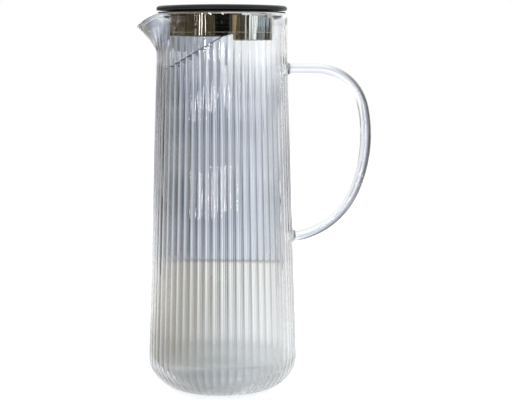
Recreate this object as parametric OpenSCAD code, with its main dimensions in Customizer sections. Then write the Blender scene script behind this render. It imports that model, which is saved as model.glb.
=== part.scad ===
// Ribbed glass jug with a rod handle and a lift-off lid that carries a hinged strainer leaf.
// The jug stands on z = 0 with its axis on z. The spout points to -x and the handle to +x.
// All lengths are in millimetres and all angles in degrees.

/* [Jug] */
// Height from the table to the top of the rim
jug_h = 256.3; // [220:0.1:300]
// Outside diameter at the widest place, just above the rounded bottom corner
base_d = 101.4; // [96:0.1:110]
// Outside diameter of the straight neck under the rim
neck_d = 88.2; // [84:0.1:94]
// Length of the straight neck, measured down from the rim
neck_len = 32.3; // [28:0.1:40]
// Height of the rounded bottom corner
corner_h = 22.5; // [16:0.1:30]
// Diameter of the flat ring that the jug stands on
foot_d = 46; // [36:0.5:60]
// Thickness of the glass wall
wall_t = 2.2; // [1.8:0.1:2.6]
// Thickness of the glass floor
floor_t = 3.5; // [2.5:0.1:5]
// How much higher the corner between wall and floor ends inside, which thickens the heel
heel_rise = 2; // [0:0.1:4]
// How much wider that corner is inside
heel_run = 1.3; // [0:0.1:3]
// Thickness of the fire-polished rim
rim_t = 2.9; // [2.6:0.1:3.4]

/* [Ribs] */
// Number of upright ribs around the jug
rib_count = 58; // [40:1:64]
// Depth of the grooves between the ribs
rib_depth = 0.4; // [0.2:0.05:0.7]
// Length over which the ribs grow shallower below the neck
rib_fade_len = 54; // [30:1:80]
// Share of the ribs' depth that is left in the neck, where they die away towards the rim
neck_rib_share = 0.35; // [0:0.05:0.6]

/* [Spout] */
// How far the spout tip stands out from the neck
spout_reach = 13.1; // [8:0.1:16]
// How far the spout tip lies below the rim
spout_dip = 7.8; // [4:0.1:10]
// Depth of the spout, measured down from the rim
spout_depth = 26.3; // [22:0.1:28]
// Angle from the middle of the spout to where it meets the round wall
spout_half = 42; // [34:1:48]

/* [Handle] */
// Diameter of the glass rod
rod_d = 7.2; // [6:0.1:9]
// Distance from the rim down to the middle of the upper weld
handle_drop = 37.3; // [34:0.1:48]
// Length of the straight run out from the wall
handle_run = 20; // [12:0.5:24]
// Radius of the tight upper bend
bend_top_r = 32; // [26:0.5:36]
// Angle of the tight upper bend
bend_top_a = 78.5; // [74:0.5:82]
// Radius of the long grip bend
bend_grip_r = 97; // [80:1:105]
// Angle of the long grip bend
bend_grip_a = 33; // [28:0.5:36]
// Angle of the lower bend, whose radius follows from where the rod meets the wall
bend_low_a = 55; // [50:0.5:60]
// Radius of the last turn, which brings the rod square to the wall
bend_end_r = 10; // [6:0.5:14]
// Length of the straight run into the wall
handle_foot_run = 2.8; // [2.4:0.1:6]
// Radius of the glass fillet around each weld
weld_round = 2.2; // [1:0.1:2.4]

/* [Lid] */
// Thickness of the cap at its edge
cap_t = 2.9; // [2.5:0.1:4]
// Height of the slight dome on the cap
cap_crown = 1.1; // [0.3:0.1:2]
// Radius of the rounded upper edge of the cap
cap_round = 1.8; // [0.8:0.1:2.2]
// How far the cap reaches out past the sealing lip
cap_over = 1; // [0.4:0.1:1.6]
// Thickness of the sealing lip
seal_t = 1; // [0.6:0.1:1.4]
// Clear height between the sealing lip and the cap
lip_gap = 0.7; // [0.4:0.1:1.5]
// Outside diameter of the steel sleeve
sleeve_d = 70.8; // [66:0.1:73]
// Thickness of the sheet that the sleeve is pressed from
sheet_t = 0.6; // [0.4:0.1:0.8]
// How far the handle side of the sleeve hangs below the spout side
skirt_extra = 2.7; // [1.5:0.1:3.5]

/* [Strainer leaf] */
// Distance from the jug's axis to the hinge pin, towards the handle
pin_x = 9.9; // [8:0.1:13]
// Distance from the rim down to the hinge pin
pin_drop = 14.4; // [13:0.1:18]
// Diameter of the hinge pin
pin_d = 1.6; // [1.4:0.1:2]
// Thickness of the leaf
leaf_t = 0.5; // [0.4:0.1:0.7]
// Slope of the leaf's root below the horizontal, at rest
root_lean = 16; // [12:0.5:18]
// Slope of the leaf's main plate below the horizontal, at rest
leaf_lean = 30.3; // [26:0.5:34]
// Length of the leaf's root, from the pin to the bend
root_len = 8.4; // [8:0.1:10]
// Diameter of the strainer holes
strain_hole_d = 2.4; // [1.6:0.1:2.8]
// Distance between strainer holes
strain_pitch = 5; // [4.5:0.1:6.5]

/* [Hidden] */
$fn = 96;

// One overrun serves every cut.
over = 5;

// Jug
base_r = base_d / 2;
neck_r = neck_d / 2;
foot_r = foot_d / 2;
neck_z = jug_h - neck_len;
bead_r = rim_t / 2;
rim_mid_r = neck_r - bead_r;
mouth_r = neck_r - rim_t;
corner_w = base_r - foot_r;
floor_corner_h = corner_h - floor_t + heel_rise;
floor_corner_w = corner_w + heel_run;
floor_r = wall_r(floor_t + floor_corner_h) - wall_t - floor_corner_w;
// Turn of the corner, from the foot, over which the ribs rise to full depth
rib_rise_a = 18;

// Spout
spout_z = jug_h - spout_depth;
// The spout swells faster towards its lip.
swell_power = 1.45;
// Sharpness of the spout seen from above, and of the dip in its edge
beak_power = 4;
dip_power = 6;
// Share of the spout's depth above which the wall thickens into the rim
thicken_share = 0.75;

// Steps of the glass mesh
corner_steps = 5;
fade_steps = 2;
spout_steps = 5;
bead_steps = 4;
fine_count = 4 * rib_count;
coarse_count = 2 * rib_count;

// Handle
rod_r = rod_d / 2;
// How deep each weld reaches into the wall
weld_sink = 0.9;
handle_z = jug_h - handle_drop;
rod_sides = 20;
flare_steps = 4;
bend_top_steps = 14;
bend_grip_steps = 9;
bend_low_steps = 11;
bend_end_steps = 3;
// Places along the rod, each as [x, z, angle turned below +x]
rod_start = [neck_r, handle_z, 0];
rod_top = after_run(rod_start, handle_run);
rod_grip = after_bend(rod_top, bend_top_r, bend_top_a);
rod_low = after_bend(rod_grip, bend_grip_r, bend_grip_a);
// The lower bend takes the radius that ends the rod at the wall.
low_turn = after_bend([0, 0, rod_low[2]], 1, bend_low_a);
end_turn = after_bend(low_turn, bend_end_r, 180 - low_turn[2]) - low_turn;
wall_slope = (neck_r - base_r) / (neck_z - corner_h);
bend_low_r = (wall_r(rod_low[1] + end_turn[1]) + handle_foot_run - rod_low[0] - end_turn[0])
    / (low_turn[0] - wall_slope * low_turn[1]);
rod_turn = after_bend(rod_low, bend_low_r, bend_low_a);
rod_foot = after_bend(rod_turn, bend_end_r, 180 - rod_turn[2]);
rod_end = after_run(rod_foot, handle_foot_run);

// Lid, from the rim up
arc_steps = 6;
rim_clear = 0.1;
seal_z = jug_h + rim_clear;
seal_top_z = seal_z + seal_t;
cap_z = seal_top_z + lip_gap;
// How far the sealing lip reaches past the top of the rim
seal_lap = 0.3;
seal_r = rim_mid_r + seal_lap;
cap_r = seal_r + cap_over;
// The lip thins towards its edge.
lip_edge_t = 0.6 * seal_t;
sleeve_r = sleeve_d / 2;
sleeve_in_r = sleeve_r - sheet_t;
collar_floor_t = 0.5;
collar_z = seal_z - collar_floor_t;
flange_z = collar_z - sheet_t;
// Depth of the groove that holds the seal, and width of the collar
groove_depth = 1.6;
collar_w = 5.6;
collar_in_r = sleeve_r - collar_w;

// Screws that hold the collar and the sleeve to the cap
screw_count = 3;
screw_r = 1;
screw_clear = 0.1;
screw_head_r = 1.9;
screw_head_h = 1.3;
// Depth of the screw's thread in the cap
screw_bite = 2.2;
screw_slot_w = 0.6;
screw_slot_h = 0.7;
// Gap from a screw's shank to the open middle of the collar
screw_edge = 1;
screw_place_r = collar_in_r + screw_edge + screw_r;

// Hinge of the strainer leaf
pin_r = pin_d / 2;
pin_z = jug_h - pin_drop;
pin_head_over = 0.2;
pin_head_r = pin_r + pin_head_over;
pin_head_t = 0.6;
pin_head_clear = 0.05;
pin_half = sqrt(pow(sleeve_r, 2) - pow(pin_x - pin_head_r, 2)) + pin_head_clear;
eye_clear = 0.05;
eye_in_r = pin_r + eye_clear;
eye_r = eye_in_r + leaf_t;
eye_end_gap = 0.4;
eye_half = sqrt(pow(sleeve_in_r, 2) - pow(pin_x + eye_r, 2)) - eye_end_gap;

// Strainer leaf: its sheet leaves the eye along the eye's upper side.
sheet_up = eye_r - leaf_t / 2;
root_x = pin_x - sheet_up * sin(root_lean);
root_z = pin_z + sheet_up * cos(root_lean);
bend_x = root_x - root_len * cos(root_lean);
bend_z = root_z - root_len * sin(root_lean);
// The round edge clears the mouth of the jug.
leaf_gap = 1.6;
leaf_r = mouth_r - leaf_gap;
// How far the middle of the round edge lies from the jug's axis, towards the spout
leaf_lead = 1.9;
leaf_mid = (bend_x + leaf_lead) / cos(leaf_lean);
// The leaf is narrow beside the pin, so that it passes the sleeve when it folds down.
neck_share = 0.6;
root_neck = neck_share * root_len;
// Plain border around the strainer holes, and the number of rows to each side of the middle
strain_border = 4;
strain_rows = floor(leaf_r / strain_pitch) + 1;

// Lower edge of the sleeve: the spout side is the seat of the leaf.
seat_gap = 0.1;
front_z = bend_z + leaf_t / 2 / cos(root_lean) + seat_gap;
back_z = front_z - skirt_extra;
// Distance from the pin to the step between the two sides
step_back = 1.9;
step_x = pin_x - step_back;
// Rolled line around the sleeve
crease_r = 0.25;
crease_up = 2.3;
crease_z = front_z + crease_up;

glass = [0.86, 0.91, 0.92, 0.45];
black = [0.05, 0.05, 0.05];
soft_black = [0.1, 0.1, 0.1];
steel = [0.72, 0.7, 0.66];

// Outside radius of the ribs' crests at height z, above the bottom corner
function wall_r(z) =
    z > neck_z ? neck_r : base_r + (neck_r - base_r) * (z - corner_h) / (neck_z - corner_h);

// Depth of the groove at angle a, as a share: zero on a rib's round crest, one in the sharp groove beside it
function groove_share(a) =
    let(turned = a * rib_count / 360)
    pow(2 * abs(turned - round(turned)), 2);

// Share of their full depth that the ribs have at height z, up to the neck
function fade_share(z) = min(1, neck_rib_share + (1 - neck_rib_share) * (neck_z - z) / rib_fade_len);

// Swell of the spout and dip of its edge at angle a, as shares: one at the spout's middle
function spout_bell(a, power) =
    abs(a - 180) >= spout_half ? 0 : pow(cos(90 * (a - 180) / spout_half), power);

function on_axis(r, a, z) = [r * cos(a), r * sin(a), z];

// Point of the outside of the bottom corner, t degrees up from the foot
function corner_point(t, a) =
    let(cut = rib_depth * min(1, t / rib_rise_a) * groove_share(a),
        nr = corner_h * sin(t),
        nz = -corner_w * cos(t),
        n = norm([nr, nz]))
    on_axis(foot_r + corner_w * sin(t) - cut * nr / n, a, corner_h * (1 - cos(t)) - cut * nz / n);

// Point of the ribbed wall at height z
function wall_point(z, a) = on_axis(wall_r(z) - rib_depth * fade_share(z) * groove_share(a), a, z);

// Height and swell of the spout's wall at angle a, where s runs from its root to its lip
function lip_z(a) = jug_h - spout_dip * spout_bell(a, dip_power) - bead_r;
function spout_height(s, a) = spout_z + s * (lip_z(a) - spout_z);
function spout_swell(s, a) = spout_reach * pow(s, swell_power) * spout_bell(a, beak_power);

function spout_outer(s, a) =
    let(cut = rib_depth * neck_rib_share * (1 - s) * groove_share(a))
    on_axis(neck_r + spout_swell(s, a) - cut, a, spout_height(s, a));
function spout_inner(s, a) =
    let(grow = max(0, (s - thicken_share) / (1 - thicken_share)),
        t = wall_t + (rim_t - wall_t) * grow)
    on_axis(neck_r - t + spout_swell(s, a), a, spout_height(s, a));

// Point of the round bead on the rim, b degrees from the outside over to the inside
function bead_point(b, a) =
    on_axis(rim_mid_r + spout_swell(1, a) + bead_r * cos(b), a, lip_z(a) + bead_r * sin(b));

// Point of the inside of the bottom corner, t degrees up from the floor
function floor_point(t, a) =
    on_axis(floor_r + floor_corner_w * sin(t), a, floor_t + floor_corner_h * (1 - cos(t)));

function shares(n) = [for (i = [0 : n]) i / n];

// Rings of points, from the foot up the outside, over the rim and down the inside
function fine_ring(i) = 360 * i / fine_count;
function coarse_ring(i) = 360 * i / coarse_count;
fade_z = neck_z - rib_fade_len;
fine_rings = concat(
    [for (s = shares(corner_steps)) [for (i = [0 : fine_count - 1]) corner_point(90 * s, fine_ring(i))]],
    [for (s = shares(fade_steps))
        [for (i = [0 : fine_count - 1]) wall_point(fade_z + rib_fade_len * s, fine_ring(i))]]
);
coarse_rings = concat(
    [for (s = shares(spout_steps)) [for (i = [0 : coarse_count - 1]) spout_outer(s, coarse_ring(i))]],
    [for (k = [1 : bead_steps])
        [for (i = [0 : coarse_count - 1]) bead_point(180 * k / bead_steps, coarse_ring(i))]],
    [for (k = [1 : spout_steps])
        [for (i = [0 : coarse_count - 1]) spout_inner(1 - k / spout_steps, coarse_ring(i))]],
    [[for (i = [0 : coarse_count - 1]) on_axis(neck_r - wall_t, coarse_ring(i), neck_z)]],
    [for (k = [0 : corner_steps])
        [for (i = [0 : coarse_count - 1]) floor_point(90 * (1 - k / corner_steps), coarse_ring(i))]]
);

function flat_list(rings) = [for (ring = rings) each ring];

// Two triangles for each step between ring k and the ring after it
function band(first, count, k) =
    [for (i = [0 : count - 1])
        let(j = (i + 1) % count,
            low = first + k * count,
            high = low + count)
        each [[low + i, high + i, high + j], [low + i, high + j, low + j]]];

// Three triangles for each step where the fine rings meet the coarse ones
function join_band(low, high) =
    [for (j = [0 : coarse_count - 1])
        let(k = (j + 1) % coarse_count,
            last = (2 * j + 2) % fine_count)
        each [
            [low + 2 * j, high + j, low + 2 * j + 1],
            [low + 2 * j + 1, high + j, high + k],
            [low + 2 * j + 1, high + k, low + last]
        ]];

module glass_body() {
    fine_n = len(fine_rings);
    coarse_n = len(coarse_rings);
    coarse_first = fine_n * fine_count;
    last_first = coarse_first + (coarse_n - 1) * coarse_count;
    color(glass)
        polyhedron(
            points = concat(flat_list(fine_rings), flat_list(coarse_rings)),
            faces = concat(
                [[for (i = [0 : fine_count - 1]) i]],
                [for (k = [0 : fine_n - 2]) each band(0, fine_count, k)],
                join_band((fine_n - 1) * fine_count, coarse_first),
                [for (k = [0 : coarse_n - 2]) each band(coarse_first, coarse_count, k)],
                [[for (i = [0 : coarse_count - 1]) last_first + coarse_count - 1 - i]]
            )
        );
}

// Where the rod stands after a straight run, and after a bend towards -z
function after_run(p, length) = [p[0] + length * cos(p[2]), p[1] - length * sin(p[2]), p[2]];
function after_bend(p, radius, angle) = [
    p[0] + radius * (sin(p[2] + angle) - sin(p[2])),
    p[1] + radius * (cos(p[2] + angle) - cos(p[2])),
    p[2] + angle
];

// Fillet of a weld: its radius at distance d out from the wall
function flare_r(d) = rod_r + weld_round - sqrt(pow(weld_round, 2) - pow(weld_round - d, 2));

// Ring of points around the rod at place p
function rod_ring(p, r) =
    [for (i = [0 : rod_sides - 1])
        let(a = 360 * i / rod_sides)
        [p[0] + r * cos(a) * sin(p[2]), -r * sin(a), p[1] + r * cos(a) * cos(p[2])]];

function bend_rings(p, radius, angle, steps) =
    [for (k = [1 : steps]) rod_ring(after_bend(p, radius, angle * k / steps), rod_r)];

rod_rings = concat(
    [rod_ring(after_run(rod_start, -weld_sink), flare_r(0))],
    [for (s = shares(flare_steps)) rod_ring(after_run(rod_start, weld_round * s), flare_r(weld_round * s))],
    [rod_ring(rod_top, rod_r)],
    bend_rings(rod_top, bend_top_r, bend_top_a, bend_top_steps),
    bend_rings(rod_grip, bend_grip_r, bend_grip_a, bend_grip_steps),
    bend_rings(rod_low, bend_low_r, bend_low_a, bend_low_steps),
    bend_rings(rod_turn, bend_end_r, 180 - rod_turn[2], bend_end_steps),
    [for (s = shares(flare_steps))
        let(d = weld_round * (1 - s))
        rod_ring(after_run(rod_end, -d), flare_r(d))],
    [rod_ring(after_run(rod_end, weld_sink), flare_r(0))]
);

module glass_handle() {
    last = (len(rod_rings) - 1) * rod_sides;
    color(glass)
        polyhedron(
            points = flat_list(rod_rings),
            faces = concat(
                [[for (i = [0 : rod_sides - 1]) i]],
                [for (k = [0 : len(rod_rings) - 2]) each band(0, rod_sides, k)],
                [[for (i = [0 : rod_sides - 1]) last + rod_sides - 1 - i]]
            )
        );
}

// Points of an arc around [x, y] from angle a to angle b
function arc(x, y, r, a, b) =
    [for (s = shares(arc_steps)) [x + r * cos(a + (b - a) * s), y + r * sin(a + (b - a) * s)]];

// Repeats its children at the places of the cap screws.
module at_screws() {
    for (i = [0 : screw_count - 1])
        rotate([0, 0, 180 / screw_count + 360 * i / screw_count])
            translate([screw_place_r, 0, 0])
                children();
}

module lid_cap() {
    edge_top = cap_z + cap_t;
    // Radius of the shallow dome from its rise and its span
    dome_span = cap_r - cap_round;
    dome_r = (pow(dome_span, 2) + pow(cap_crown, 2)) / (2 * cap_crown);
    dome_a = asin(dome_span / dome_r);
    color(black)
        difference() {
            rotate_extrude()
                polygon(concat(
                    [[0, cap_z], [cap_r, cap_z]],
                    arc(cap_r - cap_round, edge_top - cap_round, cap_round, 0, 90),
                    arc(0, edge_top + cap_crown - dome_r, dome_r, 90 - dome_a, 90)
                ));
            at_screws()
                translate([0, 0, cap_z - over])
                    cylinder(h = over + screw_bite, r = screw_r);
        }
}

module lid_collar() {
    color(black)
        difference() {
            rotate_extrude()
                polygon([
                    [collar_in_r, collar_z],
                    [sleeve_r, collar_z],
                    [sleeve_r, seal_z],
                    [sleeve_r - groove_depth, seal_z],
                    [sleeve_r - groove_depth, seal_top_z],
                    [sleeve_r, seal_top_z],
                    [sleeve_r, cap_z],
                    [collar_in_r, cap_z]
                ]);
            at_screws()
                translate([0, 0, collar_z - over])
                    cylinder(h = cap_z - collar_z + 2 * over, r = screw_r + screw_clear);
        }
}

module seal_ring() {
    color(soft_black)
        rotate_extrude()
            polygon([
                [sleeve_r - groove_depth, seal_z],
                [seal_r - lip_edge_t / 2, seal_z],
                [seal_r, seal_z + lip_edge_t / 2],
                [seal_r - lip_edge_t / 2, seal_z + lip_edge_t],
                [sleeve_r, seal_top_z],
                [sleeve_r - groove_depth, seal_top_z]
            ]);
}

// The sleeve's wall with its in-turned flange and the rolled line around it
module sleeve_blank() {
    rotate_extrude()
        polygon([
            [collar_in_r, flange_z],
            [sleeve_in_r, flange_z],
            [sleeve_in_r, back_z],
            [sleeve_r, back_z],
            [sleeve_r, collar_z],
            [collar_in_r, collar_z]
        ]);
    rotate_extrude()
        translate([sleeve_r, crease_z])
            intersection() {
                circle(r = crease_r);
                translate([-sheet_t / 2, -crease_r])
                    square([sheet_t, 2 * crease_r]);
            }
}

module steel_sleeve() {
    cut_half = sleeve_r + over;
    cut_deep = root_len + over;
    color(steel)
        difference() {
            sleeve_blank();
            // The spout side ends higher, and slopes up beside the pin as the seat of the leaf.
            translate([-cut_half, -cut_half, back_z - over])
                cube([cut_half + bend_x, 2 * cut_half, front_z - back_z + over]);
            intersection() {
                translate([0, -cut_half, back_z - over])
                    cube([step_x, 2 * cut_half, sleeve_r]);
                translate([root_x, 0, root_z])
                    rotate([0, -root_lean, 0])
                        translate([-2 * root_len, -cut_half, -cut_deep])
                            cube([3 * root_len, 2 * cut_half, cut_deep + leaf_t / 2 + seat_gap]);
            }
            // Holes for the pin
            translate([pin_x, 0, pin_z])
                rotate([90, 0, 0])
                    cylinder(h = 2 * cut_half, r = pin_r, center = true);
            at_screws()
                translate([0, 0, flange_z - over])
                    cylinder(h = sheet_t + 2 * over, r = screw_r + screw_clear);
        }
}

module cap_screw() {
    difference() {
        union() {
            translate([0, 0, flange_z - screw_head_h])
                cylinder(h = screw_head_h, r = screw_head_r);
            translate([0, 0, flange_z - screw_head_h])
                cylinder(h = screw_head_h + cap_z - flange_z + screw_bite, r = screw_r);
        }
        // Crossed slots in the head
        for (a = [0, 90])
            rotate([0, 0, a])
                translate([-screw_head_r / 2, -screw_slot_w / 2, flange_z - screw_head_h - over])
                    cube([screw_head_r, screw_slot_w, over + screw_slot_h]);
    }
}

module cap_screws() {
    color(steel)
        at_screws()
            cap_screw();
}

module hinge_pin() {
    color(steel)
        translate([pin_x, 0, pin_z])
            rotate([90, 0, 0]) {
                cylinder(h = 2 * (pin_half + pin_head_t), r = pin_r, center = true);
                for (side = [-1, 1])
                    translate([0, 0, side * (pin_half + pin_head_t / 2)])
                        cylinder(h = pin_head_t, r = pin_head_r, center = true);
            }
}

// Step from a point of the sheet's middle line to its upper side, where the sheet slopes by a
function to_upper(a, t) = [-t * sin(a), t * cos(a)];

// Side view of the bent sheet, from the eye out past its round edge, in [x, z]
module sheet_profile() {
    half_t = leaf_t / 2;
    root = [root_x, root_z];
    fold = [bend_x, bend_z];
    tip = fold - 2 * leaf_r * [cos(leaf_lean), sin(leaf_lean)];
    root_up = to_upper(root_lean, half_t);
    fold_up = to_upper((root_lean + leaf_lean) / 2, half_t / cos((leaf_lean - root_lean) / 2));
    tip_up = to_upper(leaf_lean, half_t);
    polygon([root + root_up, fold + fold_up, tip + tip_up, tip - tip_up, fold - fold_up, root - root_up]);
}

// Takes its children from the plane of the leaf's main plate, which lies along -x from the bend.
module on_plate() {
    translate([bend_x, 0, bend_z])
        rotate([0, -leaf_lean, 0])
            children();
}

// Strainer holes in staggered rows, kept inside the plain border
module strain_holes() {
    row_step = strain_pitch * sin(60);
    for (i = [-strain_rows : strain_rows], j = [-strain_rows : strain_rows]) {
        u = i * row_step;
        v = (j + (i % 2 == 0 ? 0 : 1 / 2)) * strain_pitch;
        if (norm([u, v]) < leaf_r - strain_border && leaf_mid + u > strain_border)
            translate([-leaf_mid - u, v])
                circle(d = strain_hole_d);
    }
}

module leaf_sheet() {
    neck_x = pin_x - root_neck;
    difference() {
        intersection() {
            rotate([90, 0, 0])
                linear_extrude(2 * leaf_r, center = true)
                    sheet_profile();
            on_plate()
                translate([-leaf_mid, 0, -leaf_r])
                    cylinder(h = 2 * leaf_r, r = leaf_r);
        }
        for (side = [-1, 1])
            translate([neck_x, side * (eye_half + leaf_r) - leaf_r, pin_z - leaf_r])
                cube([leaf_r, 2 * leaf_r, 2 * leaf_r]);
        on_plate()
            translate([0, 0, -over])
                linear_extrude(2 * over)
                    strain_holes();
    }
}

module strainer_leaf() {
    color(steel)
        difference() {
            union() {
                leaf_sheet();
                translate([pin_x, 0, pin_z])
                    rotate([90, 0, 0])
                        cylinder(h = 2 * eye_half, r = eye_r, center = true);
            }
            translate([pin_x, 0, pin_z])
                rotate([90, 0, 0])
                    cylinder(h = 2 * (eye_half + over), r = eye_in_r, center = true);
        }
}

glass_body();
glass_handle();
lid_cap();
lid_collar();
seal_ring();
steel_sleeve();
cap_screws();
hinge_pin();
strainer_leaf();
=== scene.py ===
import math

import bpy
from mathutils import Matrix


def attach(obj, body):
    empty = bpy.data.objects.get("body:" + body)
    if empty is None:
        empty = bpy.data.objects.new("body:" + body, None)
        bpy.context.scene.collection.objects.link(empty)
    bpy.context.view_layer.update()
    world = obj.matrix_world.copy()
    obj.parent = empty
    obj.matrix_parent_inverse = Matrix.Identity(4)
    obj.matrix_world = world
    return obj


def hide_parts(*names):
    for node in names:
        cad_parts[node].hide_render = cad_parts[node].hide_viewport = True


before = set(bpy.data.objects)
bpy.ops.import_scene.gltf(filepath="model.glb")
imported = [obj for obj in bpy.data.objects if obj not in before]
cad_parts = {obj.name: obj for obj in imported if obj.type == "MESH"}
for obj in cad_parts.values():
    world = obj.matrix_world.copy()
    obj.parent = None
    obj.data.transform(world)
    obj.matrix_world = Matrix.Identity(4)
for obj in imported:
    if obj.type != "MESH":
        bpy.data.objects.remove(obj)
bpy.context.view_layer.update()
MM = 0.001


# camera: its place in metres, and how many degrees it looks down
CAM_PLACE = (0.0230, -1.0218, 0.2316)
CAM_DOWN = 5.68
BOUNCES = 24

cam_data = bpy.data.cameras.new("camera")
cam_data.sensor_width = 36.0
cam_data.lens = 105.96
cam_data.clip_start = 0.05
cam_data.clip_end = 40.0
cam = bpy.data.objects.new("camera", cam_data)
cam.location = CAM_PLACE
cam.rotation_euler = (math.radians(90 - CAM_DOWN), 0, 0)
bpy.context.scene.collection.objects.link(cam)
bpy.context.scene.camera = cam
bpy.context.scene.view_settings.view_transform = "Standard"
# light passes many glass surfaces in the ribs and the heel before it leaves
for kind in ("max", "glossy", "transmission"):
    setattr(bpy.context.scene.cycles, kind + "_bounces", BOUNCES)


# mesh helpers
def make_mesh(name, points, faces, smooth=True):
    """A new object from points in millimetres."""
    mesh = bpy.data.meshes.new(name)
    mesh.from_pydata([(x * MM, y * MM, z * MM) for x, y, z in points], [], faces)
    mesh.validate()
    if smooth:
        mesh.polygons.foreach_set("use_smooth", [True] * len(mesh.polygons))
    obj = bpy.data.objects.new(name, mesh)
    bpy.context.scene.collection.objects.link(obj)
    return obj


def rings_mesh(name, rings, closed=False):
    """Quads between rings of equal length, each ring's last point joined to its first."""
    n = len(rings[0])
    points = [p for ring in rings for p in ring]
    faces = []
    last = len(rings) if closed else len(rings) - 1
    for k in range(last):
        a, b = k * n, ((k + 1) % len(rings)) * n
        for i in range(n):
            j = (i + 1) % n
            faces.append((a + i, a + j, b + j, b + i))
    if not closed:
        faces.append(tuple(reversed(range(n))))
        faces.append(tuple(range((len(rings) - 1) * n, len(rings) * n)))
    return make_mesh(name, points, faces)


def at(r, a, z):
    """The point at a radius, an angle in degrees and a height."""
    t = math.radians(a)
    return (r * math.cos(t), r * math.sin(t), z)


def lathe(name, profile, columns=256):
    """Surface turned about the jug's axis from a closed profile of (r, z), run upwards on its outside."""
    rings = [[at(r, 360 * i / columns, z) for i in range(columns)] for r, z in profile]
    return rings_mesh(name, rings, closed=True)


def arc(cx, cy, r, a, b, steps):
    """Points of a circle from the angle a to the angle b, both of them among the points."""
    out = []
    for k in range(steps + 1):
        t = math.radians(a + (b - a) * k / steps)
        out.append((cx + r * math.cos(t), cy + r * math.sin(t)))
    return out


# sizes in millimetres and angles in degrees, as in the part's source
JUG_H = 256.3
BASE_R = 50.7
NECK_R = 44.1
NECK_Z = JUG_H - 32.3
CORNER_H = 22.5
FOOT_R = 23.0
WALL_T = 2.2
FLOOR_T = 3.5
HEEL_RISE = 2.0
HEEL_RUN = 1.3
RIM_T = 2.9
RIBS = 58
RIB_DEPTH = 0.40
RIB_START = 18.0
RIB_FADE = 54.0
NECK_RIBS = 0.35
SPOUT_REACH = 13.1
SPOUT_DIP = 7.8
SPOUT_Z = JUG_H - 26.3
SPOUT_HALF = 42.0
SPOUT_DIP_POWER = 6
SPOUT_SIDE_POWER = 4
SPOUT_CURVE = 1.45
SPOUT_RIB_FADE = 1.5
THICKEN_SHARE = 0.75

ROD_R = 3.6
ROD_Z = JUG_H - 37.3
ROD_RUN = 20.0
SHOULDER_R = 32.0
SHOULDER_TURN = 78.5
GRIP_R = 97.0
GRIP_TURN = 33.0
LOW_TURN = 55.0
END_R = 10.0
END_RUN = 2.8
WELD_ROUND = 2.2

BEAD_R = RIM_T / 2
RIM_MID_R = NECK_R - BEAD_R
CORNER_W = BASE_R - FOOT_R
FLOOR_W = CORNER_W + HEEL_RUN
FLOOR_H = CORNER_H - FLOOR_T + HEEL_RISE
FLOOR_R = BASE_R - WALL_T - FLOOR_W

# mesh detail: columns to each rib, and radii of the rings that the flat foot and floor are drawn with
RIB_COLUMNS = 10
FOOT_RINGS = (2.0, 10.0, 18.0)
FLOOR_RINGS = (12.0, 7.0, 2.0)
# the rod's mesh starts deeper in the wall than the solid does, and wider, so that the two fuse
WELD_SINK = 1.2
SUNK_FLARE_SHARE = 0.35


# glass jug
def groove(a):
    """0 on a rib's crown and 1 in the sharp groove beside it: the ribs are round outwards."""
    turned = a * RIBS / 360 % 1
    return (2 * min(turned, 1 - turned)) ** 2


def bell(a, power):
    """1 in the middle of the spout and 0 at its sides."""
    d = abs(a - 180)
    return 0.0 if d >= SPOUT_HALF else math.cos(math.radians(90 * d / SPOUT_HALF)) ** power


def wall_r(z):
    """The outer radius over the ribs, which narrows up to the neck."""
    return NECK_R if z > NECK_Z else BASE_R + (NECK_R - BASE_R) * (z - CORNER_H) / (NECK_Z - CORNER_H)


def corner_point(t, a):
    """The rounded bottom corner, a quarter of an ellipse, with the grooves cut square to it."""
    tr = math.radians(t)
    cut = RIB_DEPTH * min(1, t / RIB_START) * groove(a)
    nr, nz = CORNER_H * math.sin(tr), -CORNER_W * math.cos(tr)
    n = math.hypot(nr, nz)
    r = FOOT_R + CORNER_W * math.sin(tr) - cut * nr / n
    z = CORNER_H * (1 - math.cos(tr)) - cut * nz / n
    return at(r, a, z)


def fade(z):
    """The ribs' depth as a share of the full one, which falls towards the neck."""
    if z < NECK_Z:
        return min(1, NECK_RIBS + (1 - NECK_RIBS) * (NECK_Z - z) / RIB_FADE)
    return NECK_RIBS


def wall_point(z, a):
    """The ribbed wall between the corner and the neck."""
    return at(wall_r(z) - RIB_DEPTH * fade(z) * groove(a), a, z)


def lip_z(a):
    """The height of the middle of the rim's bead, which dips at the spout."""
    return JUG_H - SPOUT_DIP * bell(a, SPOUT_DIP_POWER) - BEAD_R


def swell(s, a):
    """How far the spout reaches out, from its foot at s = 0 to the rim at s = 1."""
    return SPOUT_REACH * s ** SPOUT_CURVE * bell(a, SPOUT_SIDE_POWER)


def spout_outer(s, a):
    """The outside of the neck, where the ribs fade out towards the rim."""
    cut = (1 - s) ** SPOUT_RIB_FADE * RIB_DEPTH * NECK_RIBS * groove(a)
    return at(NECK_R + swell(s, a) - cut, a, SPOUT_Z + s * (lip_z(a) - SPOUT_Z))


def spout_inner(s, a):
    """The inside of the neck. Its wall thickens to the rim's over the last quarter."""
    grow = max(0, (s - THICKEN_SHARE) / (1 - THICKEN_SHARE))
    t = WALL_T + (RIM_T - WALL_T) * grow
    return at(NECK_R - t + swell(s, a), a, SPOUT_Z + s * (lip_z(a) - SPOUT_Z))


def bead_point(b, a):
    """The rounded rim, from its outside over to its inside."""
    t = math.radians(b)
    return at(RIM_MID_R + swell(1, a) + BEAD_R * math.cos(t), a, lip_z(a) + BEAD_R * math.sin(t))


def inner_point(z, a):
    """The smooth inside of the tapering wall."""
    return at(wall_r(z) - WALL_T, a, z)


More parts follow.
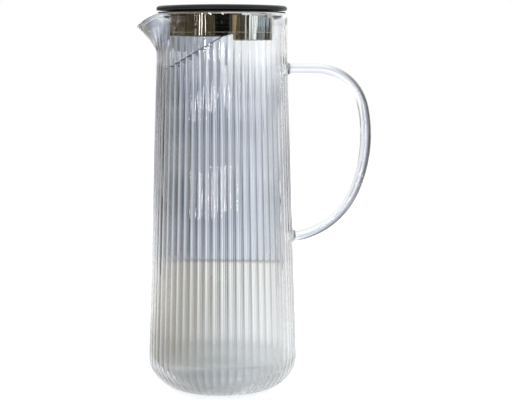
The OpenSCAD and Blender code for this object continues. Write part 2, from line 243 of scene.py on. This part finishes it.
def floor_point(t, a):
    """The rounded inner corner, which leans in with the wall above it."""
    tr = math.radians(t)
    lean = (wall_r(FLOOR_T + FLOOR_H) - BASE_R) * math.sin(tr)
    return at(FLOOR_R + FLOOR_W * math.sin(tr) + lean, a, FLOOR_T + FLOOR_H * (1 - math.cos(tr)))


def glass_rings(columns):
    """Rings up the outside, over the rim, down the inside and in along the floor."""
    angles = [360 * i / columns for i in range(columns)]

    def flat(radii, z):
        return [[at(r, a, z) for a in angles] for r in radii]

    def along(point, start, stop, steps):
        places = [start + (stop - start) * k / steps for k in range(steps + 1)]
        return [[point(place, a) for a in angles] for place in places]

    full_ribs_z = NECK_Z - RIB_FADE
    rings = flat(FOOT_RINGS, 0)
    rings += along(corner_point, 0, 90, 24)
    rings += along(wall_point, CORNER_H, full_ribs_z, 10)[1:-1]
    rings += along(wall_point, full_ribs_z, NECK_Z, 10)
    rings += along(spout_outer, 0, 1, 26)
    rings += along(bead_point, 0, 180, 10)[1:]
    rings += along(spout_inner, 1, 0, 20)[1:]
    rings += along(inner_point, NECK_Z, FLOOR_T + FLOOR_H, 8)
    rings += along(floor_point, 90, 0, 20)[1:]
    rings += flat(FLOOR_RINGS, FLOOR_T)
    return rings


# rod handle: a place on its middle line is (x, z, degrees turned down from level)
def after_run(p, length):
    t = math.radians(p[2])
    return (p[0] + length * math.cos(t), p[1] - length * math.sin(t), p[2])


def after_bend(p, radius, angle):
    a, b = math.radians(p[2]), math.radians(p[2] + angle)
    x = p[0] + radius * (math.sin(b) - math.sin(a))
    z = p[1] + radius * (math.cos(b) - math.cos(a))
    return (x, z, p[2] + angle)


def flare(d):
    """The rod's radius at a distance from the wall, where it widens into the weld."""
    return ROD_R + WELD_ROUND - math.sqrt(max(0.0, WELD_ROUND ** 2 - (WELD_ROUND - d) ** 2))


def rod_rings(sides):
    """Rings along the rod, from inside the wall at the top to inside it below."""
    def ring(p, r):
        t = math.radians(p[2])
        out = []
        for i in range(sides):
            a = 2 * math.pi * i / sides
            x = p[0] + r * math.cos(a) * math.sin(t)
            z = p[1] + r * math.cos(a) * math.cos(t)
            out.append((x, -r * math.sin(a), z))
        return out

    def bent(p, radius, angle, steps):
        return [ring(after_bend(p, radius, angle * k / steps), ROD_R) for k in range(1, steps + 1)]

    start = (NECK_R, ROD_Z, 0)
    shoulder = after_run(start, ROD_RUN)
    grip = after_bend(shoulder, SHOULDER_R, SHOULDER_TURN)
    low = after_bend(grip, GRIP_R, GRIP_TURN)
    # the low bend has the radius that brings the rod's end onto the sloping wall
    slope = (NECK_R - BASE_R) / (NECK_Z - CORNER_H)
    unit = after_bend((0, 0, low[2]), 1, LOW_TURN)
    end_turn = 180 - unit[2]
    end = after_bend(unit, END_R, end_turn)
    end_x, end_z = end[0] - unit[0], end[1] - unit[1]
    low_r = (wall_r(low[1] + end_z) + END_RUN - low[0] - end_x) / (unit[0] - slope * unit[1])
    turned = after_bend(low, low_r, LOW_TURN)
    stop = after_run(after_bend(turned, END_R, end_turn), END_RUN)

    sunk_r = flare(0) + SUNK_FLARE_SHARE * WELD_SINK
    rings = [ring(after_run(start, -WELD_SINK), sunk_r)]
    rings += [ring(after_run(start, d), flare(d)) for d in (WELD_ROUND * k / 8 for k in range(9))]
    rings += [ring(after_run(start, WELD_ROUND + (ROD_RUN - WELD_ROUND) * k / 6), ROD_R) for k in range(1, 7)]
    rings += bent(shoulder, SHOULDER_R, SHOULDER_TURN, 36)
    rings += bent(grip, GRIP_R, GRIP_TURN, 18)
    rings += bent(low, low_r, LOW_TURN, 28)
    rings += bent(turned, END_R, end_turn, 6)
    rings += [ring(after_run(stop, -d), flare(d)) for d in (WELD_ROUND * (1 - k / 8) for k in range(9))]
    rings.append(ring(after_run(stop, WELD_SINK), sunk_r))
    return rings


def weld(base, tool):
    """Fuse the tool into the base's mesh."""
    fuse = base.modifiers.new("weld", "BOOLEAN")
    fuse.operation = "UNION"
    fuse.solver = "MANIFOLD"
    fuse.object = tool
    bpy.context.view_layer.update()
    fused = bpy.data.meshes.new_from_object(base.evaluated_get(bpy.context.evaluated_depsgraph_get()))
    base.modifiers.clear()
    base.data = fused
    bpy.data.objects.remove(tool)
    fused.polygons.foreach_set("use_smooth", [True] * len(fused.polygons))


jug = rings_mesh("jug_glass", glass_rings(RIBS * RIB_COLUMNS))
weld(jug, rings_mesh("rod_glass", rod_rings(36)))
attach(jug, "jug")
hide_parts("glass_body", "glass_handle")


# lid
SEAL_Z = JUG_H + 0.1
SEAL_TOP = SEAL_Z + 1.0
SEAL_R = RIM_MID_R + 0.3
SEAL_ROUND = 0.3
CAP_Z = SEAL_TOP + 0.7
CAP_R = SEAL_R + 1.0
CAP_T = 2.9
CAP_CROWN = 1.1
CAP_ROUND = 1.8
CAP_SOFT = 0.35
CENTRE_R = 0.5
SLEEVE_R = 35.4
SHEET_T = 0.6
SLEEVE_IN = SLEEVE_R - SHEET_T
SEAL_IN = SLEEVE_R - 1.6
COLLAR_Z = SEAL_Z - 0.5
COLLAR_IN = SLEEVE_R - 5.6
PIN_X = 9.9
PIN_Z = JUG_H - 14.4

# the leaf's root and plate, which the sleeve's lower edge follows
ROOT_LEAN = 16.0
ROOT_UP = 1.1
ROOT_W = 8.4
LEAF_LEAN = 30.3
LEAF_T = 0.5
LEAF_GAP = 0.1
root_sin, root_cos = math.sin(math.radians(ROOT_LEAN)), math.cos(math.radians(ROOT_LEAN))
BEND_X = PIN_X - ROOT_UP * root_sin - ROOT_W * root_cos
BEND_Z = PIN_Z + ROOT_UP * root_cos - ROOT_W * root_sin

# the sleeve's edge is higher on the spout side of its step, and a rolled line runs over it
SKIRT_EXTRA = 2.7
STEP_BACK = 1.9
FRONT_Z = BEND_Z + LEAF_T / 2 / root_cos + LEAF_GAP
BACK_Z = FRONT_Z - SKIRT_EXTRA
STEP_X = PIN_X - STEP_BACK
STEP_HALF = 0.03
CREASE_Z = FRONT_Z + 2.3
CREASE_R = 0.12
EDGE_R = 0.18
FLANGE_R = 0.7
# points this far from the bends keep the smooth shading of the straight bands between them flat
EDGE_GAP = 0.04
CREASE_GAPS = (0.15, 0.20)
FLANGE_GAPS = (0.10, 0.05)
BAND_Z = 248.0


# cap: rounded upper edge, softened lower edge, shallow dome
def cap_profile():
    edge_top = CAP_Z + CAP_T
    top = edge_top + CAP_CROWN
    span = CAP_R - CAP_ROUND
    dome_r = (span ** 2 + CAP_CROWN ** 2) / (2 * CAP_CROWN)
    dome_a = math.degrees(math.asin(span / dome_r))
    out = [(CENTRE_R, CAP_Z), (SLEEVE_R - 6, CAP_Z), (SLEEVE_R, CAP_Z), (SEAL_R, CAP_Z)]
    out += arc(CAP_R - CAP_SOFT, CAP_Z + CAP_SOFT, CAP_SOFT, -90, 0, 4)
    out += arc(span, edge_top - CAP_ROUND, CAP_ROUND, 0, 90, 12)
    out += arc(0, top - dome_r, dome_r, 90 - dome_a, 90, 14)[1:-1]
    out.append((CENTRE_R, top))
    return out


cap = lathe("cap_disc", cap_profile())
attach(cap, "lid")
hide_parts("lid_cap")


# sealing lip: rounded edge, thinning outwards
def lip_profile():
    out = [(SEAL_IN, SEAL_Z), (SLEEVE_R + 0.6, SEAL_Z), (SEAL_R - 1.5, SEAL_Z)]
    out += arc(SEAL_R - SEAL_ROUND, SEAL_Z + SEAL_ROUND, SEAL_ROUND, -90, 90, 8)
    out += [(SEAL_R - 2, SEAL_Z + 0.68), (SLEEVE_R + 1.2, SEAL_TOP - 0.12), (SLEEVE_R + 0.4, SEAL_TOP)]
    out.append((SEAL_IN, SEAL_TOP))
    return out


lip = lathe("seal_lip", lip_profile())
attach(lip, "lid")
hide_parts("seal_ring")


# sleeve: thin sheet with an in-turned flange, a rolled line and a stepped lower edge
def sleeve_edge(x):
    """The height of the lower edge: along the leaf's root between the front and the step."""
    if x <= BEND_X:
        return FRONT_Z
    if x < STEP_X:
        on_root = BEND_Z + (x - BEND_X) * root_sin / root_cos
        return max(FRONT_Z, on_root + (LEAF_T / 2 + LEAF_GAP) / root_cos)
    return BACK_Z


def sleeve_profile(z):
    """The sheet's section over a lower edge at z, with close pairs of points beside each bend."""
    edge_z = z + EDGE_R
    flange_z = COLLAR_Z - SHEET_T
    near, far = CREASE_GAPS
    out = [(SLEEVE_R - SHEET_T / 2, z)]
    out += arc(SLEEVE_R - EDGE_R, edge_z, EDGE_R, -60, 0, 4)
    out += [(SLEEVE_R, h) for h in (edge_z + EDGE_GAP, CREASE_Z - far, CREASE_Z - near)]
    out += arc(SLEEVE_R, CREASE_Z, CREASE_R, -90, 90, 8)
    out += [(SLEEVE_R, h) for h in (CREASE_Z + near, CREASE_Z + far, BAND_Z)]
    out += [(SLEEVE_R, COLLAR_Z - FLANGE_R - gap) for gap in FLANGE_GAPS]
    out += arc(SLEEVE_R - FLANGE_R, COLLAR_Z - FLANGE_R, FLANGE_R, 0, 90, 6)
    out += [(COLLAR_IN + 0.1, COLLAR_Z), (COLLAR_IN, COLLAR_Z - 0.3), (COLLAR_IN + 0.1, flange_z)]
    out += [(SLEEVE_IN - 0.3, flange_z), (SLEEVE_IN, flange_z - 0.3)]
    out += [(SLEEVE_IN, h) for h in (BAND_Z, CREASE_Z + far, edge_z)]
    out += arc(SLEEVE_IN + EDGE_R, edge_z, EDGE_R, 180, 240, 4)[1:]
    return out


def sleeve_mesh():
    """Columns all round, with a pair of close ones at each side of the step."""
    step_a = math.degrees(math.acos(STEP_X / SLEEVE_R))
    bend_a = math.degrees(math.acos(BEND_X / SLEEVE_R))
    step = {side + gap for side in (step_a, 360 - step_a) for gap in (-STEP_HALF, STEP_HALF)}
    columns = []
    for a in sorted(set(range(360)) | step | {bend_a, 360 - bend_a}):
        profile = sleeve_profile(sleeve_edge(SLEEVE_R * math.cos(math.radians(a))))
        columns.append([at(r, a, z) for r, z in profile])
    return rings_mesh("sleeve_steel", [list(ring) for ring in zip(*columns)], closed=True)


sleeve = sleeve_mesh()
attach(sleeve, "lid")
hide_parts("steel_sleeve")


# node helpers: each returns the socket that holds its result
MIX_FACTOR, MIX_ONE, MIX_OTHER, MIX_RESULT = 0, 6, 7, 2


def feed(t, value, socket):
    """Set an input to a number or a colour, or link it."""
    if isinstance(value, bpy.types.NodeSocket):
        t.links.new(value, socket)
    elif isinstance(value, tuple):
        socket.default_value = (*value, 1)
    else:
        socket.default_value = value


def noise(t, scale, detail=2.0, stretch=(1, 1, 1)):
    coord = t.nodes.new("ShaderNodeTexCoord")
    mapping = t.nodes.new("ShaderNodeMapping")
    mapping.inputs["Scale"].default_value = stretch
    tex = t.nodes.new("ShaderNodeTexNoise")
    tex.inputs["Scale"].default_value = scale
    tex.inputs["Detail"].default_value = detail
    t.links.new(coord.outputs["Object"], mapping.inputs["Vector"])
    t.links.new(mapping.outputs["Vector"], tex.inputs["Vector"])
    return tex.outputs["Fac"]


def distance(t):
    """Metres from the object's origin, which is under the jug's middle for all that the scene makes."""
    coord = t.nodes.new("ShaderNodeTexCoord")
    away = t.nodes.new("ShaderNodeVectorMath")
    away.operation = "LENGTH"
    t.links.new(coord.outputs["Object"], away.inputs[0])
    return away.outputs["Value"]


def ramp(t, source, stops):
    r = t.nodes.new("ShaderNodeValToRGB")
    while len(r.color_ramp.elements) < len(stops):
        r.color_ramp.elements.new(0.5)
    for element, (place, colour) in zip(r.color_ramp.elements, stops):
        element.position = place
        element.color = (*colour, 1)
    t.links.new(source, r.inputs["Fac"])
    return r.outputs["Color"]


def span_of(t, source, a, b, low, high):
    """A number that goes from low to high as the source goes from a to b."""
    m = t.nodes.new("ShaderNodeMapRange")
    for k, v in (("From Min", a), ("From Max", b), ("To Min", low), ("To Max", high)):
        m.inputs[k].default_value = v
    t.links.new(source, m.inputs["Value"])
    return m.outputs["Result"]


def worked_out(t, operation, *values):
    """The result of a math node on numbers and sockets."""
    node = t.nodes.new("ShaderNodeMath")
    node.operation = operation
    for value, socket in zip(values, node.inputs):
        feed(t, value, socket)
    return node.outputs[0]


def mixed(t, factor, one, other, blend="MIX"):
    node = t.nodes.new("ShaderNodeMix")
    node.data_type = "RGBA"
    node.blend_type = blend
    for k, value in ((MIX_FACTOR, factor), (MIX_ONE, one), (MIX_OTHER, other)):
        feed(t, value, node.inputs[k])
    return node.outputs[MIX_RESULT]


def times(t, one, other):
    return mixed(t, 1.0, one, other, "MULTIPLY")


def material(name):
    m = bpy.data.materials.new(name)
    m.use_nodes = True
    t = m.node_tree
    return m, t, t.nodes["Principled BSDF"]


def bump(t, bsdf, source, strength, depth):
    b = t.nodes.new("ShaderNodeBump")
    b.inputs["Strength"].default_value = strength
    b.inputs["Distance"].default_value = depth
    t.links.new(source, b.inputs["Height"])
    t.links.new(b.outputs["Normal"], bsdf.inputs["Normal"])


# materials
def clear_glass():
    """Blown glass, slightly wavy."""
    m, t, bsdf = material("clear_glass")
    bsdf.inputs["Base Color"].default_value = (0.975, 0.980, 0.982, 1)
    bsdf.inputs["Transmission Weight"].default_value = 1.0
    bsdf.inputs["IOR"].default_value = 1.47
    wave = noise(t, 26, 1.5, (1, 1, 0.35))
    feed(t, span_of(t, wave, 0.35, 0.65, 0.0, 0.012), bsdf.inputs["Roughness"])
    bump(t, bsdf, wave, 0.25, 0.00025)
    return m


def black_plastic():
    """Satin plastic with a fine grain."""
    m, t, bsdf = material("black_plastic")
    cloud = noise(t, 60, 3)
    tint = ramp(t, cloud, [(0.35, (0.007, 0.008, 0.007)), (0.65, (0.010, 0.0115, 0.010))])
    feed(t, tint, bsdf.inputs["Base Color"])
    bsdf.inputs["Specular IOR Level"].default_value = 0.30
    feed(t, span_of(t, cloud, 0.3, 0.7, 0.34, 0.42), bsdf.inputs["Roughness"])
    bump(t, bsdf, noise(t, 2600, 2), 0.35, 0.00006)
    return m


def black_silicone():
    """Soft dull rubber."""
    m, t, bsdf = material("black_silicone")
    grain = noise(t, 900, 2)
    tint = ramp(t, grain, [(0.3, (0.010, 0.010, 0.010)), (0.7, (0.018, 0.018, 0.018))])
    feed(t, tint, bsdf.inputs["Base Color"])
    bsdf.inputs["Roughness"].default_value = 0.55
    bump(t, bsdf, grain, 0.2, 0.00005)
    return m


def steel(name, brush_scale, stretch, dark, light, smooth, rough, bumps):
    """Brushed steel whose tint, roughness and fine marks follow one stretched noise."""
    m, t, bsdf = material(name)
    brush = noise(t, brush_scale, 3, stretch)
    feed(t, ramp(t, brush, [(0.3, dark), (0.7, light)]), bsdf.inputs["Base Color"])
    bsdf.inputs["Metallic"].default_value = 1.0
    feed(t, span_of(t, brush, 0.3, 0.7, smooth, rough), bsdf.inputs["Roughness"])
    bump(t, bsdf, brush, *bumps)
    return m


def leaf_steel():
    """The leaf's faces are polished and bright. Its edges and the walls of its holes are dull and have
    painted shade: they are tinted near black.
    """
    m, t, bsdf = material("leaf_steel")
    coord = t.nodes.new("ShaderNodeTexCoord")
    facing = t.nodes.new("ShaderNodeVectorMath")
    facing.operation = "DOT_PRODUCT"
    lean = math.radians(LEAF_LEAN)
    facing.inputs[1].default_value = (-math.sin(lean), 0, math.cos(lean))
    t.links.new(coord.outputs["Normal"], facing.inputs[0])
    flat = worked_out(t, "ABSOLUTE", facing.outputs["Value"])
    # painted shade: near black where the surface turns away from the plate's faces, on the edges and hole
    # walls
    tint = ramp(t, flat, [(0.6, (0.035, 0.032, 0.03)), (0.9, (0.52, 0.51, 0.50))])
    feed(t, tint, bsdf.inputs["Base Color"])
    bsdf.inputs["Metallic"].default_value = 1.0
    feed(t, span_of(t, flat, 0.6, 0.9, 0.45, 0.10), bsdf.inputs["Roughness"])
    bump(t, bsdf, noise(t, 500, 3, (1, 0.08, 1)), 0.05, 0.00002)
    return m


def dress(node, mat):
    """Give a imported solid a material, and sharp edges where its faces turn by more than 28 degrees."""
    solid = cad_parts[node]
    solid.data.materials.clear()
    solid.data.materials.append(mat)
    split = solid.modifiers.new("edges", "EDGE_SPLIT")
    split.split_angle = math.radians(28)


jug.data.materials.clear()
jug.data.materials.append(clear_glass())
plastic = black_plastic()
cap.data.materials.append(plastic)
lip.data.materials.append(black_silicone())
sleeve.data.materials.append(steel(
    "polished_steel", 420, (1, 1, 0.03), (0.52, 0.50, 0.45), (0.66, 0.64, 0.58), 0.02, 0.05, (0.12, 0.00003),
))
plain_steel = steel(
    "plain_steel", 900, (1, 0.08, 1), (0.50, 0.49, 0.47), (0.60, 0.59, 0.57), 0.20, 0.32, (0.15, 0.00004),
)
dress("lid_collar", plastic)
for node in ("cap_screws", "hinge_pin"):
    dress(node, plain_steel)
dress("strainer_leaf", leaf_steel())


# stage floor: a pale disc that fades into the surroundings between 0.9 and 2.4 m from the jug
FLOOR_DISC_R = 2600.0
FLOOR_SIDES = 96
FLOOR_Z = -0.05


def pale_floor():
    m, t, bsdf = material("stage_floor")
    bsdf.inputs["Base Color"].default_value = (0.78, 0.785, 0.79, 1)
    bsdf.inputs["Roughness"].default_value = 0.9
    bsdf.inputs["Emission Color"].default_value = (0.97, 0.985, 1.0, 1)
    bsdf.inputs["Emission Strength"].default_value = 0.70
    feed(t, span_of(t, distance(t), 0.9, 2.4, 1, 0), bsdf.inputs["Alpha"])
    return m


disc = [at(FLOOR_DISC_R, 360 * i / FLOOR_SIDES, FLOOR_Z) for i in range(FLOOR_SIDES)]
floor = make_mesh("stage_floor", disc, [tuple(range(FLOOR_SIDES))], smooth=False)
floor.data.materials.append(pale_floor())


# stage cards: they show through the glass alone, and the bars in reflections too
def grey(level):
    return (level, level, level)


ONE = grey(1.0)
EVEN = [(0.0, ONE), (1.0, ONE)]
# how the table darkens towards the jug, within a quarter of a metre
SHADOW = [
    (0.0, (0.62, 0.63, 0.63)), (0.2, (0.64, 0.65, 0.65)), (0.4, (0.72, 0.73, 0.73)), (0.6, grey(0.88)),
    (0.8, ONE),
]
SHADOW_REACH = 0.25


def card(name, corners, across, up, strength=1.0, patches=0.0, seen_in_gloss=False, shadow=False):
    """A glowing card. Colours go across it, and shares of them up it."""
    obj = make_mesh(name, corners, [(0, 1, 2, 3)], smooth=False)
    m = bpy.data.materials.new(name)
    m.use_nodes = True
    t = m.node_tree
    t.nodes.clear()
    coord = t.nodes.new("ShaderNodeTexCoord")
    place = t.nodes.new("ShaderNodeSeparateXYZ")
    t.links.new(coord.outputs["Generated"], place.inputs["Vector"])
    stands = corners[0][2] != corners[2][2]
    rise = place.outputs["Z"] if stands else place.outputs["Y"]
    colour = times(t, ramp(t, place.outputs["X"], across), ramp(t, rise, up))
    if patches:
        stops = [(0.38, grey(1 - patches)), (0.62, grey(1 + patches))]
        colour = times(t, colour, ramp(t, noise(t, 9, 1.5, (1, 1, 1.3)), stops))
    if shadow:
        near = span_of(t, distance(t), 0.0, SHADOW_REACH, 0, 1)
        colour = times(t, colour, ramp(t, near, SHADOW))
    glow = t.nodes.new("ShaderNodeEmission")
    glow.inputs["Strength"].default_value = strength
    t.links.new(colour, glow.inputs["Color"])
    out = t.nodes.new("ShaderNodeOutputMaterial")
    t.links.new(glow.outputs[0], out.inputs["Surface"])
    obj.data.materials.append(m)
    obj.visible_camera = False
    obj.visible_shadow = False
    obj.visible_diffuse = False
    obj.visible_glossy = seen_in_gloss


def upright(x0, x1, y, z0, z1):
    """The corners of a card that stands across the view."""
    return [(x0, y, z0), (x1, y, z0), (x1, y, z1), (x0, y, z1)]


def shares(low, high, stops):
    """Stops at places from low to high, as shares of the way."""
    return [((x - low) / (high - low), c) for x, c in stops]


# a cool wall behind the jug, dark at its left and pale on its right, seen through the glass alone
WALL_X0, WALL_X1, WALL_Y, WALL_TOP = -520, 360, 640, 900
card(
    "stage_wall",
    upright(WALL_X0, WALL_X1, WALL_Y, 0, WALL_TOP),
    shares(WALL_X0, WALL_X1, [
        (WALL_X0, (0.12, 0.11, 0.10)), (-430, (0.14, 0.13, 0.12)), (-300, (0.30, 0.28, 0.25)),
        (-110, (0.14, 0.145, 0.155)), (-80, (0.20, 0.22, 0.26)), (-45, (0.33, 0.365, 0.44)),
        (-12, (0.44, 0.49, 0.585)), (12, (0.55, 0.60, 0.69)), (34, (0.68, 0.72, 0.785)),
        (60, (0.81, 0.84, 0.885)), (WALL_X1, (0.82, 0.84, 0.88)),
    ]),
    shares(0, WALL_TOP, [
        (0, (0.92, 0.94, 0.97)), (12, (0.92, 0.94, 0.97)), (60, (0.98, 1.0, 1.02)), (96, (1.0, 1.0, 1.02)),
        (110, (0.91, 0.92, 0.95)), (150, (0.89, 0.90, 0.93)), (180, (0.97, 0.98, 1.0)),
        (205, (1.22, 1.20, 1.18)), (225, (1.4, 1.38, 1.34)), (262, (1.4, 1.38, 1.34)),
        (320, (1.25, 1.23, 1.2)), (500, ONE), (WALL_TOP, ONE),
    ]),
    patches=0.08,
)
# a dark room opens on the left of it, lighter at one height
DARK_X0, DARK_X1, DARK_Y, DARK_Z0, DARK_Z1 = -430, -96, 625, 4, 232
card(
    "stage_dark",
    upright(DARK_X0, DARK_X1, DARK_Y, DARK_Z0, DARK_Z1),
    [
        (0.0, (0.045, 0.04, 0.035)), (0.45, (0.04, 0.034, 0.028)), (0.80, (0.05, 0.043, 0.038)),
        (0.93, (0.07, 0.075, 0.085)), (1.0, (0.2, 0.22, 0.26)),
    ],
    shares(DARK_Z0, DARK_Z1, [
        (DARK_Z0, grey(2.2)), (14, ONE), (88, ONE), (104, (2.8, 2.8, 2.7)), (128, (2.8, 2.8, 2.7)),
        (146, (1.4, 1.5, 1.6)), (180, (1.9, 2.0, 2.1)), (205, (3.4, 3.5, 3.6)), (220, grey(5.5)),
        (DARK_Z1, grey(8)),
    ]),
)
# high on the wall the pale part reaches further left
PANE_X0, PANE_X1, PANE_Y, PANE_Z0, PANE_Z1 = -18, 62, 630, 178, 330
card(
    "stage_pane",
    upright(PANE_X0, PANE_X1, PANE_Y, PANE_Z0, PANE_Z1),
    [(0.0, (0.52, 0.57, 0.66)), (0.4, (0.96, 0.98, 1.01)), (1.0, (1.04, 1.06, 1.08))],
    shares(PANE_Z0, PANE_Z1, [
        (PANE_Z0, (0.62, 0.65, 0.70)), (205, (0.85, 0.86, 0.89)), (225, ONE), (PANE_Z1, ONE),
    ]),
)
# a narrow dark post stands on its right, lighter at two heights
POST_X0, POST_X1, POST_Y, POST_Z0, POST_Z1 = 222, 244, 625, 10, 200
card(
    "stage_strip",
    upright(POST_X0, POST_X1, POST_Y, POST_Z0, POST_Z1),
    [(0.0, (0.10, 0.10, 0.11)), (1.0, (0.14, 0.14, 0.15))],
    shares(POST_Z0, POST_Z1, [
        (POST_Z0, ONE), (88, ONE), (94, grey(6)), (140, grey(6)), (146, ONE), (192, ONE), (POST_Z1, grey(5)),
    ]),
)
# the table: sandy on the left, pale on the right, with a dark line where it meets the wall
TABLE_X, TABLE_Y0, TABLE_Y1, TABLE_Z = 2400, -950, 2400, -0.02
card(
    "stage_table",
    [
        (-TABLE_X, TABLE_Y0, TABLE_Z), (TABLE_X, TABLE_Y0, TABLE_Z),
        (TABLE_X, TABLE_Y1, TABLE_Z), (-TABLE_X, TABLE_Y1, TABLE_Z),
    ],
    shares(-TABLE_X, TABLE_X, [
        (-TABLE_X, (0.36, 0.33, 0.28)), (-900, (0.38, 0.35, 0.29)), (-250, (0.24, 0.21, 0.16)),
        (-66, (0.26, 0.23, 0.18)), (-36, (0.40, 0.39, 0.36)), (-12, (0.51, 0.53, 0.54)),
        (10, (0.66, 0.69, 0.71)), (36, (0.85, 0.87, 0.88)), (70, (0.99, 1.0, 1.0)), (160, (0.95, 0.96, 0.98)),
        (300, (0.86, 0.86, 0.90)), (1200, (0.88, 0.89, 0.92)), (TABLE_X, (0.88, 0.89, 0.92)),
    ]),
    shares(TABLE_Y0, TABLE_Y1, [
        (TABLE_Y0, grey(0.95)), (-150, ONE), (618, ONE), (622, (0.45, 0.45, 0.46)),
        (WALL_Y, (0.45, 0.45, 0.46)), (650, ONE), (TABLE_Y1, ONE),
    ]),
    shadow=True,
)
# dark rugs far to the left and right
RUG_Z = 0.5
RUGS = {
    "left": [(-2300, -150), (-820, -150), (-480, 700), (-1150, 2300)],
    "right": [(620, 60), (2300, 200), (2300, 1100), (720, 350)],
}
for side, outline in RUGS.items():
    corners = [(x, y, RUG_Z) for x, y in outline]
    card("stage_rug_" + side, corners, [(0.0, (0.05, 0.042, 0.034)), (1.0, (0.06, 0.055, 0.05))], EVEN)
# bright upright bars in front: azimuth and width in degrees, lowest and highest in mm, and glow
BAR_R = 900
BAR_LIGHT = (1.0, 0.95, 0.91)
BARS = [(angle, 1.0, 242, 560, 5) for angle in (-45.7, -40.6, -33.8)]
BARS += [
    (-40.0, 1.8, 196, 226, 42), (-26.0, 2.2, 81, 138, 44), (2.0, 2.2, 92, 148, 44),
    (-22.0, 1.8, 212, 240, 42), (4.0, 1.8, 222, 240, 42),
]
for n, (angle, wide, low, high, glow) in enumerate(BARS):
    left = at(BAR_R, angle - wide / 2 - 90, 0)
    right = at(BAR_R, angle + wide / 2 - 90, 0)
    card(
        "stage_bar_%d" % n,
        [(*left[:2], low), (*right[:2], low), (*right[:2], high), (*left[:2], high)],
        [(0.0, BAR_LIGHT), (1.0, BAR_LIGHT)],
        EVEN,
        glow,
        seen_in_gloss=True,
    )


# surroundings by direction: a pale wall behind the jug, a warm dark room to the left and in front,
# a cool window to the right, and a soft bright ceiling
WHITE = grey(1.0)
COOL = (0.80, 0.82, 0.87)
PALE = (0.62, 0.66, 0.70)
WINDOW = (1.3, 1.45, 1.6)
OLIVE = (0.080, 0.070, 0.048)
BROWN = (0.090, 0.078, 0.056)
BLACK = grey(0.006)
TAN = (0.42, 0.33, 0.22)
SAND = (0.36, 0.34, 0.31)
DOORWAY = (0.5, 0.46, 0.40)
SKY = (0.42, 0.58, 0.75)
DIM = (0.28, 0.30, 0.32)
DUSK = (0.05, 0.042, 0.034)
NIGHT = (0.07, 0.07, 0.075)
CEILING = (1.28, 1.30, 1.33)
# azimuth in degrees from the camera's side, + to the right: at the lid's height
AROUND = [
    (-180, WHITE), (-169.5, WHITE), (-168, PALE), (-148, SAND), (-138, BROWN), (-105, BROWN), (-96, DOORWAY),
    (-88, BROWN), (-40, OLIVE), (-14, OLIVE), (-13, BLACK), (17, BLACK), (18, OLIVE), (23, OLIVE), (24, TAN),
    (33, TAN), (34, OLIVE), (52, OLIVE), (53, WINDOW), (54, WINDOW), (55, OLIVE), (62, OLIVE), (63, WINDOW),
    (82, WINDOW), (83, OLIVE), (128, OLIVE), (134, COOL), (142, WHITE), (180, WHITE),
]
# bluish spikes hang from the top beside the window
UPPER = [
    (-180, WHITE), (-169.5, WHITE), (-148, SAND), (-138, BROWN), (-14, OLIVE), (-13, BLACK), (17, BLACK),
    (18, OLIVE), (23, OLIVE), (24, TAN), (33, TAN), (34, OLIVE), (52, OLIVE), (53, WINDOW), (54, WINDOW),
    (55, OLIVE), (62, OLIVE), (63, WINDOW), (84, WINDOW), (86, OLIVE), (90, SKY), (96, SKY), (98, OLIVE),
    (103, SKY), (108, SKY), (110, OLIVE), (117, SKY), (123, SKY), (125, OLIVE), (128, OLIVE), (142, WHITE),
    (180, WHITE),
]
# below the lid's height, and lower down
BELOW = [
    (-180, WHITE), (-169.5, WHITE), (-162, PALE), (-150, DUSK), (-84, DUSK), (-76, BROWN), (-21, OLIVE),
    (-20, BLACK), (11, BLACK), (44, OLIVE), (45, WINDOW), (64, WINDOW), (68, PALE), (74, COOL), (120, COOL),
    (140, WHITE), (180, WHITE),
]
LOWER = [
    (-180, WHITE), (-169.5, WHITE), (-164, PALE), (-154, DUSK), (-84, DUSK), (-76, BROWN), (-21, OLIVE),
    (-20, BLACK), (11, BLACK), (44, OLIVE), (45, WINDOW), (64, WINDOW), (68, PALE), (78, PALE), (84, NIGHT),
    (116, NIGHT), (122, DIM), (140, PALE), (152, WHITE), (180, WHITE),
]

world = bpy.data.worlds.new("studio")
bpy.context.scene.world = world
world.use_nodes = True
wt = world.node_tree
wt.nodes.clear()
coord = wt.nodes.new("ShaderNodeTexCoord")
direction = wt.nodes.new("ShaderNodeSeparateXYZ")
wt.links.new(coord.outputs["Generated"], direction.inputs["Vector"])
rightward, backward, upward = (direction.outputs[axis] for axis in "XYZ")
azimuth = worked_out(wt, "ARCTAN2", rightward, worked_out(wt, "MULTIPLY", backward, -1))
share = span_of(wt, azimuth, -math.pi, math.pi, 0, 1)


def ring_of(stops):
    """Colours all round, from stops in degrees."""
    return ramp(wt, share, shares(-180, 180, stops))


def over(below, above, low, high, along):
    """One colour where a part of the direction is low, and another where it is high."""
    return mixed(wt, span_of(wt, along, low, high, 0, 1), below, above)


streaks = wt.nodes.new("ShaderNodeTexNoise")
streaks.noise_dimensions = "1D"
streaks.inputs["Scale"].default_value = 14
streaks.inputs["Detail"].default_value = 3
wt.links.new(azimuth, streaks.inputs["W"])
uneven = ramp(wt, streaks.outputs["Fac"], [(0.35, grey(0.4)), (0.65, (1.6, 1.57, 1.5))])
jagged = worked_out(wt, "MULTIPLY_ADD", streaks.outputs["Fac"], 0.05, upward)
room = over(ring_of(AROUND), ring_of(UPPER), 0.041, 0.043, jagged)
# streaks everywhere but straight behind the jug
room = over(times(wt, room, uneven), room, 0.90, 0.95, backward)
under = over(ring_of(LOWER), ring_of(BELOW), -0.060, -0.035, upward)
room = over(under, room, -0.006, 0.002, upward)
# the bright ceiling starts higher in front
height = worked_out(wt, "MULTIPLY_ADD", worked_out(wt, "MINIMUM", backward, 0), 0.32, upward)
shade = wt.nodes.new("ShaderNodeBackground")
wt.links.new(over(room, CEILING, 0.16, 0.34, height), shade.inputs["Color"])
surroundings = wt.nodes.new("ShaderNodeOutputWorld")
wt.links.new(shade.outputs[0], surroundings.inputs["Surface"])
